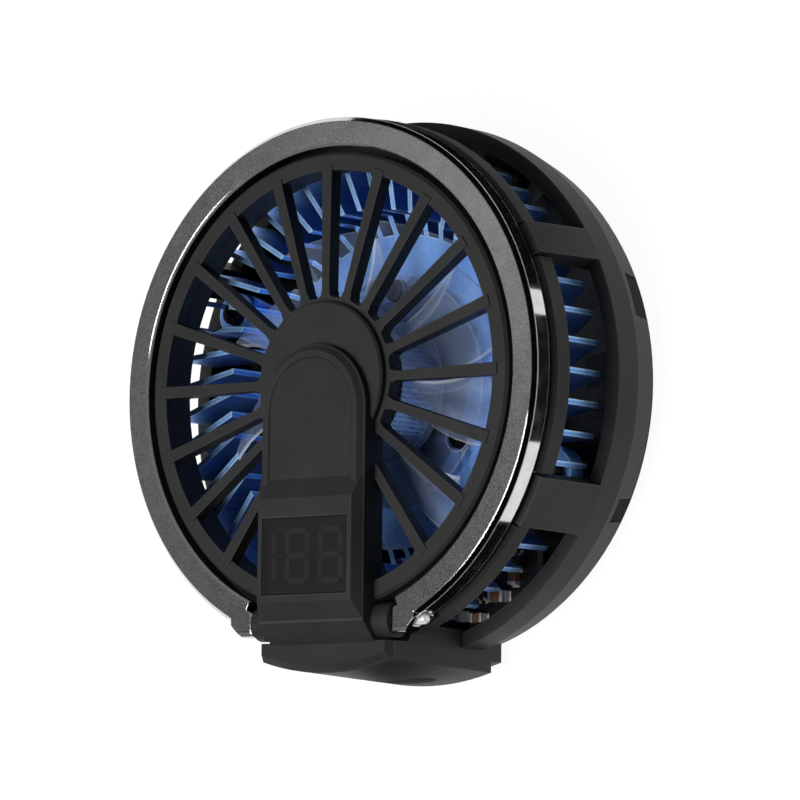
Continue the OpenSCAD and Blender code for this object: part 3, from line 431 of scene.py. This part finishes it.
SMOKE_DARK = (0.008, 0.008, 0.0085)
SMOKE_LIGHT = (0.012, 0.012, 0.0125)
SMOKE_COVER = 0.6
SMOKE_SPECULAR = 0.3
SMOKE_ROUGH = (0.30, 0.40)
SMOKE_GRAIN = 6000.0
SMOKE_DEPTH = 3 * MICRON
SMOKE_STRENGTH = 0.3


def smoked():
    """Dark see-through lens with a fine satin front."""
    mat, tree, bsdf = new_material("lens_plastic")
    fine = noise(tree, SMOKE_GRAIN, FINE_DETAIL)
    fill(tree, bsdf, Base_Color=mix(tree, fine, rgba(SMOKE_DARK), rgba(SMOKE_LIGHT)),
         Alpha=SMOKE_COVER, Specular_IOR_Level=SMOKE_SPECULAR,
         Roughness=spread(tree, fine, *SMOKE_ROUGH),
         Normal=bump(tree, fine, SMOKE_DEPTH, SMOKE_STRENGTH))
    return mat


TRACE_SCALE = 620.0
TRACE_LAYOUT = {"offset": 0.37, "squash": 1.6}
TRACE_WIDTH = 0.06
TRACE_BLUR = 0.3
TRACE_DEPTH = 20 * MICRON
TRACE_STRENGTH = 0.5
# Clouds in the solder mask: how much they cover, and their tone against the mask's
BOARD_CLOUD = 900.0
CLOUD_COVER = 0.35
CLOUD_TONE = 0.4
BOARD_ROUGH = (0.22, 0.4)
BOARD_CUT = (0.34, 0.33, 0.26)
# How squarely the board's surface faces along the axis: a cut edge below, a face above
BOARD_EDGE_FACING = 0.4
BOARD_FACE_FACING = 0.6


def board(name, colour, line):
    """Solder mask over faint copper traces, with the bare laminate at the cut edges."""
    mat, tree, bsdf = new_material(name)
    cells = add(tree, "ShaderNodeTexBrick", TRACE_LAYOUT, Scale=TRACE_SCALE, Vector=place(tree),
                Mortar_Size=TRACE_WIDTH, Mortar_Smooth=TRACE_BLUR)
    trace = cells.outputs["Fac"]
    cloud = noise(tree, BOARD_CLOUD, FINE_DETAIL)
    base = mix(tree, trace, rgba(colour), rgba(line))
    mask = mix(tree, times(tree, cloud, CLOUD_COVER), base, rgba(colour, CLOUD_TONE))
    cut_or_lit = spread(tree, facing_axis(tree), 1.0, 0.0, BOARD_EDGE_FACING, BOARD_FACE_FACING)
    fill(tree, bsdf, Base_Color=mix(tree, cut_or_lit, mask, rgba(BOARD_CUT)),
         Roughness=spread(tree, cloud, *BOARD_ROUGH),
         Normal=bump(tree, trace, TRACE_DEPTH, TRACE_STRENGTH))
    return mat


def dress(mat, *names):
    """Gives CAD nodes their material."""
    for name in names:
        obj = nodes[name]
        if not obj.material_slots:
            obj.data.materials.append(mat)
        for slot in obj.material_slots:
            slot.material = mat


BLACK = (0.019, 0.019, 0.0194)
# Of the case: roughness, grain per metre, grain depth, edge radius
CASE = (0.52, 7000.0, 6 * MICRON, 140 * MICRON)
# Node, material, colour, roughness, grain per metre, grain depth and edge radius in microns
MOULDED = (
    ("display_module", "module_plastic", (0.018, 0.018, 0.0185), 0.55, 5000.0, 4, 60),
    ("display_ribbon", "ribbon_film", (0.45, 0.24, 0.05), 0.35, 2500.0, 3, 30),
    ("contact_pad", "pad_rubber", (0.045, 0.045, 0.047), 0.75, 3500.0, 10, 200),
    ("peltier_leads", "red_lead", (0.55, 0.06, 0.05), 0.4, 3000.0, 3, 40),
    ("insulation_frame", "foam", (0.06, 0.06, 0.06), 0.9, 2600.0, 40, 200),
    ("pcb_capacitors", "cap_ceramic", (0.21, 0.105, 0.055), 0.4, 3000.0, 4, 60),
    ("pcb_chips", "chip_epoxy", (0.03, 0.03, 0.031), 0.6, 5000.0, 6, 60),
    ("usb_socket_tongue", "tongue_plastic", (0.03, 0.03, 0.03), 0.5, 4000.0, 4, 50),
    ("fan_leads", "black_lead", (0.03, 0.03, 0.03), 0.4, 3000.0, 3, 40),
    ("rotor_magnet", "ferrite", (0.06, 0.06, 0.065), 0.6, 2500.0, 6, 60),
)
# Node, material, solder mask, trace
BOARDS = (
    ("display_pcb", "display_board", (0.02, 0.08, 0.05), (0.05, 0.15, 0.08)),
    ("main_pcb", "main_board", (0.008, 0.0082, 0.009), (0.015, 0.0155, 0.017)),
    ("motor_pcb", "motor_board", (0.02, 0.12, 0.05), (0.05, 0.2, 0.08)),
)

for node_name, mat_name, colour, rough, grain, depth, edge in MOULDED:
    dress(moulded(mat_name, colour, rough, grain, depth * MICRON, edge * MICRON), node_name)
for node_name, mat_name, colour, line in BOARDS:
    dress(board(mat_name, colour, line), node_name)

# Case plastics: the last number lightens outer edges as a painted highlight; the grille's opening
# walls and the shell's notch floors also get painted shade
dress(moulded("black_plastic", BLACK, *CASE, specular=0.2, edge_highlight_tone=2.2), "arm_cover")
dress(shade_opening_walls(moulded("grille_plastic", BLACK, *CASE, specular=0.2, edge_highlight_tone=1.4)),
      "front_grille")
dress(shade_notch_floors(moulded("shell_plastic", BLACK, *CASE, specular=0.26, edge_highlight_tone=2.4)),
      "rear_shell")
dress(moulded("magnet_coat", (0.012, 0.012, 0.013), 0.45, 3000.0, 4 * MICRON, 100 * MICRON,
              specular=0.2), "magnets")
dress(moulded("white_ceramic", (0.82, 0.82, 0.80), 0.5, 3000.0, 4 * MICRON, 60 * MICRON),
      "peltier_cold_plate", "peltier_hot_plate")
segment = moulded("segment_plastic", (0.034, 0.033, 0.033), 0.5, 4000.0, 3 * MICRON, 30 * MICRON)
dress(segment, "digit_segments")
dress(clear_plastic(), "impeller", "motor_base")
dress(smoked(), "display_lens")
dress(anodised(), "heat_sink")
dress(ring_metal(), "ring_stand")
dress(metal("pin_steel", (0.90, 0.90, 0.91), 0.3, metallic=0.45), "hinge_pins")
dress(metal("black_screw", (0.03, 0.03, 0.032), 0.3), "sink_screws", "motor_base_screws")
dress(metal("steel", (0.62, 0.63, 0.65), 0.24),
      "pcb_screws", "usb_socket_shell", "motor_shaft", "rotor_cup")
dress(metal("plate_aluminium", (0.72, 0.73, 0.75), 0.3, stretch=(1.0, 0.04, 1.0)), "cold_plate")
dress(metal("pellet_metal", (0.35, 0.35, 0.37), 0.45), "peltier_pellets")
dress(metal("bronze", (0.60, 0.42, 0.20), 0.35), "bearing_sleeve")
dress(metal("lamination", (0.42, 0.42, 0.44), 0.4, 0.15, (1.0, 1.0, 6.0)), "stator_core")
dress(metal("copper", (0.60, 0.27, 0.10), 0.3, 0.15, (1.0, 1.0, 3.0)), "stator_coils")
tin = metal("tin", (0.80, 0.80, 0.78), 0.42, 0.06, metallic=0.5)
dress(tin, "pcb_cap_ends")
gold = metal("gold_plate", (0.75, 0.52, 0.24), 0.22)

# Leads, solder and contacts on the electronics, in millimetres

BOARD_TOP = 6.6
BOARD_R = 28.1
# Chips: distance inside the board's edge, turn, length, width, leads a side
CHIPS = ((4.25, -65.5, 3.6, 2.8, 4), (4.48, -111.4, 5.0, 4.0, 4),
         (3.28, -51.1, 1.6, 1.2, 2), (5.63, -122.3, 2.2, 1.4, 3))
# Capacitors: distance inside the board's edge, turn, own turn, size against the largest
CAPS = ((1.54, -60.2, 0, 1.0), (2.15, -54.0, 90, 0.8), (0.75, -67.7, 0, 0.8),
        (1.93, -73.6, 0, 1.0), (1.41, -119.6, 0, 1.0), (2.22, -126.5, 90, 0.8),
        (1.31, -113.3, 0, 0.8))
CAP_LENGTH = 2.0
CAP_WIDTH = 1.25
FILLET_SHARE = 0.92
LEAD_WIDTH = 0.34
# Outlines as (outward, upward)
LEAD_LINE = ((-0.05, 0.62), (0.20, 0.62), (0.26, 0.58), (0.37, 0.17), (0.62, 0.15),
             (0.62, 0.01), (0.30, 0.01), (0.24, 0.05), (0.13, 0.48), (-0.05, 0.48))
SOLDER_LINE = ((-0.03, 0.01), (0.32, 0.01), (0.20, 0.08), (0.10, 0.24), (0.04, 0.55),
               (-0.03, 0.55))
SOCKET_Z = 8.23
TONGUE_HALF_T = 0.35
CONTACT_COUNT = 12
CONTACT_PITCH = 0.5
CONTACT_Y = -30.3
CONTACT_LENGTH = 3.6
CONTACT_THICK = 0.06
# Outline of a contact as (across, share of its length)
CONTACT_LINE = ((-0.13, 0.2), (-0.07, 0.0), (0.07, 0.0), (0.13, 0.2), (0.13, 1.0), (-0.13, 1.0))


def prism(bm, line, width, turn):
    """Adds a closed outline, extruded across and set in place, to a mesh."""
    ends = []
    for side in (-0.5, 0.5):
        ends.append([bm.verts.new(turn @ Vector((out, side * width, rise))) for out, rise in line])
    bm.faces.new(ends[0])
    bm.faces.new(list(reversed(ends[1])))
    count = len(line)
    for i in range(count):
        j = (i + 1) % count
        bm.faces.new((ends[0][j], ends[0][i], ends[1][i], ends[1][j]))


def shift(x, y=0.0, z=0.0):
    return Matrix.Translation((x, y, z))


def about(axis, angle):
    return Matrix.Rotation(math.radians(angle), 4, axis)


def on_board(inset, angle):
    """Where a part with that place stands on the main board."""
    turn = math.radians(angle)
    radius = BOARD_R - inset
    return shift(radius * math.cos(turn), radius * math.sin(turn), BOARD_TOP)


def detail(name, bm, mat, slot):
    """Makes a mesh in millimetres a piece of the body."""
    bmesh.ops.recalc_face_normals(bm, faces=bm.faces)
    bmesh.ops.scale(bm, vec=(MM, MM, MM), verts=bm.verts)
    mesh = bpy.data.meshes.new(name)
    bm.to_mesh(mesh)
    bm.free()
    mesh.materials.append(mat)
    obj = bpy.data.objects.new(name, mesh)
    scene.collection.objects.link(obj)
    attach(obj, "body")
    return obj


def chip_leads():
    bm = bmesh.new()
    for inset, angle, length, width, count in CHIPS:
        pitch = length / count
        for side in (90, -90):
            edge = on_board(inset, angle) @ about("Z", side) @ shift(width / 2)
            for k in range(count):
                prism(bm, LEAD_LINE, LEAD_WIDTH, edge @ shift(0.0, (k - (count - 1) / 2) * pitch))
    detail("chip_leads", bm, tin, "tin")


def solder_fillets():
    bm = bmesh.new()
    for inset, angle, own, size in CAPS:
        for side in (0, 180):
            edge = on_board(inset, angle) @ about("Z", own + side) @ shift(CAP_LENGTH / 2 * size)
            prism(bm, SOLDER_LINE, CAP_WIDTH * size * FILLET_SHARE, edge)
    detail("solder_fillets", bm, tin, "tin")


def socket_contacts():
    """Gold contacts on both sides of the socket's tongue, with narrowed front ends."""
    bm = bmesh.new()
    line = [(across, along * CONTACT_LENGTH) for across, along in CONTACT_LINE]
    for side in (1, -1):
        for k in range(CONTACT_COUNT):
            x = (k - (CONTACT_COUNT - 1) / 2) * CONTACT_PITCH
            at = shift(x, CONTACT_Y, SOCKET_Z + side * TONGUE_HALF_T)
            prism(bm, line, CONTACT_THICK, at @ about("X", -90))
    detail("socket_contacts", bm, gold, "bronze")


# Unlit seven-segment bars, close under the lens: one right-hand pair, then two whole digits
LENS_TOP = 24.45
BAR_DEPTH = 0.1
BAR_THICK = 0.06
BAR_HALF_T = 0.3
BAR_GAP = 0.12
WINDOW_Y = -19.2
DIGIT_X = (-5.74, -1.06, 3.62)
DIGIT_HALF_W = 1.4
DIGIT_HALF_H = 2.75
RIGHT_PAIR = (1, 2)
WHOLE = (0, 1, 2, 3, 4, 5, 6)


def bar(bm, x, y, half_length, upright):
    """A flat bar with pointed ends."""
    t = BAR_HALF_T
    line = ((-half_length, 0), (t - half_length, t), (half_length - t, t),
            (half_length, 0), (half_length - t, -t), (t - half_length, -t))
    lay = shift(x, y, LENS_TOP - BAR_DEPTH) @ about("Z", 90 if upright else 0)
    prism(bm, line, BAR_THICK, lay @ about("X", 90))


def digit_bars():
    bm = bmesh.new()
    w, h = DIGIT_HALF_W, DIGIT_HALF_H
    bars = ((0, h, w, False), (w, h / 2, h / 2, True), (w, -h / 2, h / 2, True), (0, -h, w, False),
            (-w, -h / 2, h / 2, True), (-w, h / 2, h / 2, True), (0, 0, w, False))
    for x0, kept in zip(DIGIT_X, (RIGHT_PAIR, WHOLE, WHOLE)):
        for k in kept:
            x, y, half_length, upright = bars[k]
            bar(bm, x0 + x, WINDOW_Y + y, half_length - BAR_GAP, upright)
    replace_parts(detail("digit_bars", bm, segment, "segment_plastic"), "digit_segments")


chip_leads()
solder_fillets()
socket_contacts()
digit_bars()

# Floor and light

WHITE = (1.0, 1.0, 1.0)
FLOOR_HALF = 3.0
FLOOR_Z = -0.2 * MM
# The floor as it lights the part, and as it is seen: white, with a faint share that takes shadow
FLOOR_PALE = (0.85, 0.85, 0.85)
FLOOR_FAINT = (0.09, 0.09, 0.09)
FLOOR_WHITE = 0.95
# The surroundings as they light the part, and as they are seen
AMBIENT = 0.2
BACKDROP = 0.97
CENTRE = Vector((0.0, 0.0, 0.012))
# Square lamps aimed at the part: name, place, side, power
LAMPS = (("key", (-0.025, -0.13, 0.54), 0.26, 2.8),
         ("sheen", (-0.148, 0.060, 0.242), 0.05, 0.023),
         ("left_sheen", (-0.224, 0.017, 0.242), 0.05, 0.007))


def any_ray(tree, *kinds):
    """One for rays of these kinds, else zero."""
    path = add(tree, "ShaderNodeLightPath").outputs
    seen = path[kinds[0]]
    for kind in kinds[1:]:
        seen = math_node(tree, "MAXIMUM", seen, path[kind])
    return seen


def make_floor():
    mesh = bpy.data.meshes.new("floor")
    h = FLOOR_HALF
    corners = [(-h, -h, FLOOR_Z), (h, -h, FLOOR_Z), (h, h, FLOOR_Z), (-h, h, FLOOR_Z)]
    mesh.from_pydata(corners, [], [(0, 1, 2, 3)])
    floor = bpy.data.objects.new("floor", mesh)
    scene.collection.objects.link(floor)
    mat, tree, _ = new_material("floor")
    tree.nodes.clear()
    seen = any_ray(tree, "Is Camera Ray", "Is Glossy Ray", "Is Transmission Ray")
    pale = add(tree, "ShaderNodeBsdfDiffuse", Color=rgba(FLOOR_PALE))
    faint = add(tree, "ShaderNodeBsdfDiffuse", Color=rgba(FLOOR_FAINT))
    white = add(tree, "ShaderNodeEmission", Color=rgba(WHITE), Strength=FLOOR_WHITE)
    both = add(tree, "ShaderNodeAddShader")
    put(tree, both.inputs[0], faint.outputs[0])
    put(tree, both.inputs[1], white.outputs[0])
    choose = add(tree, "ShaderNodeMixShader")
    for socket, value in zip(choose.inputs, (seen, pale.outputs[0], both.outputs[0])):
        put(tree, socket, value)
    add(tree, "ShaderNodeOutputMaterial", Surface=choose.outputs[0])
    mesh.materials.append(mat)


def make_world():
    """Even soft light, white where the camera or a clear piece looks past the floor."""
    world = bpy.data.worlds.new("studio")
    scene.world = world
    world.use_nodes = True
    tree = world.node_tree
    seen = any_ray(tree, "Is Camera Ray", "Is Transmission Ray")
    fill(tree, tree.nodes["Background"], Color=rgba(WHITE),
         Strength=spread(tree, seen, AMBIENT, BACKDROP, 0.0, 1.0))


def make_lamp(name, at, side, power):
    data = bpy.data.lights.new(name, "AREA")
    data.shape = "SQUARE"
    data.size = side
    data.energy = power
    lamp = bpy.data.objects.new(name, data)
    scene.collection.objects.link(lamp)
    lamp.location = at
    lamp.rotation_mode = "QUATERNION"
    lamp.rotation_quaternion = (CENTRE - Vector(at)).to_track_quat("-Z", "Y")


# Cards that the polished ring mirrors

CARD_COLOUR = (0.004, 0.004, 0.004)
RING_R = 29.0 * MM
RING_LOW = 17.0 * MM
RING_HIGH = 22.4 * MM
FLAG_Z = 0.4 * MM
FLAG_STEPS = 24
# Turns of the ring's side that stay dark, with the tilts of its edge; the floor shows between
RING_FLAGS = ((-80.0, -34.0, (0.0, 8.0, 14.0, 19.0)),
              (-16.0, 11.0, (0.0,)),
              (16.5, 100.0, (0.0, 8.0)))
# The bevel between the ring's face and side stays dark all along
BEVEL_TURNS = (-95.0, 105.0)
BEVEL_TILTS = (41.0, 43.0, 45.0, 47.0, 49.0)
BEVEL_REACH = 0.25
# Floor that the bevelled end of the right leg mirrors, in millimetres
LEG_FLAG = ((6.0, -52.0), (22.0, -50.0), (19.0, -36.5), (9.0, -36.5))


def dark_card(name, verts, faces):
    """A black card that shapes the reflections in the polished metal, unseen otherwise."""
    mesh = bpy.data.meshes.new(name)
    mesh.from_pydata(verts, [], faces)
    card = bpy.data.objects.new(name, mesh)
    scene.collection.objects.link(card)
    mat, tree, bsdf = new_material(name)
    fill(tree, bsdf, Base_Color=rgba(CARD_COLOUR), Specular_IOR_Level=0.0)
    mesh.materials.append(mat)
    card.visible_camera = False
    card.visible_diffuse = False
    card.visible_transmission = False
    card.visible_volume_scatter = False
    card.visible_shadow = False


def mirrored_at(turn, tilt, height):
    """A point of the ring's outer edge, and the way it mirrors the camera when tilted up."""
    level = Vector((math.cos(turn), math.sin(turn), 0.0))
    normal = level * math.cos(tilt) + Vector((0.0, 0.0, math.sin(tilt)))
    point = level * RING_R + Vector((0.0, 0.0, height))
    view = (CAMERA_AT - point).normalized()
    return point, 2.0 * normal.dot(view) * normal - view


def ring_flag(name, first, last, rows, reach=None):
    """A card that the ring's edge mirrors between two turns: so far off, or else on the floor."""
    verts = []
    faces = []
    for i in range(FLAG_STEPS + 1):
        turn = math.radians(first + (last - first) * i / FLAG_STEPS)
        for height, tilt in rows:
            point, away = mirrored_at(turn, math.radians(tilt), height)
            verts.append(point + away * (reach or (height - FLAG_Z) / -away.z))
    count = len(rows)
    for i in range(FLAG_STEPS):
        for j in range(count - 1):
            low = i * count + j
            faces.append((low, low + 1, low + count + 1, low + count))
    dark_card(name, verts, faces)


make_floor()
make_world()
for lamp_row in LAMPS:
    make_lamp(*lamp_row)
for number, (first, last, tilts) in enumerate(RING_FLAGS):
    rows = [(RING_LOW, 0.0)] + [(RING_HIGH, tilt) for tilt in tilts]
    ring_flag("floor_flag_%d" % number, first, last, rows)
dark_card("leg_flag", [(x * MM, y * MM, FLAG_Z) for x, y in LEG_FLAG], [(0, 1, 2, 3)])
ring_flag("bevel_flag", *BEVEL_TURNS, [(RING_HIGH, tilt) for tilt in BEVEL_TILTS], BEVEL_REACH)
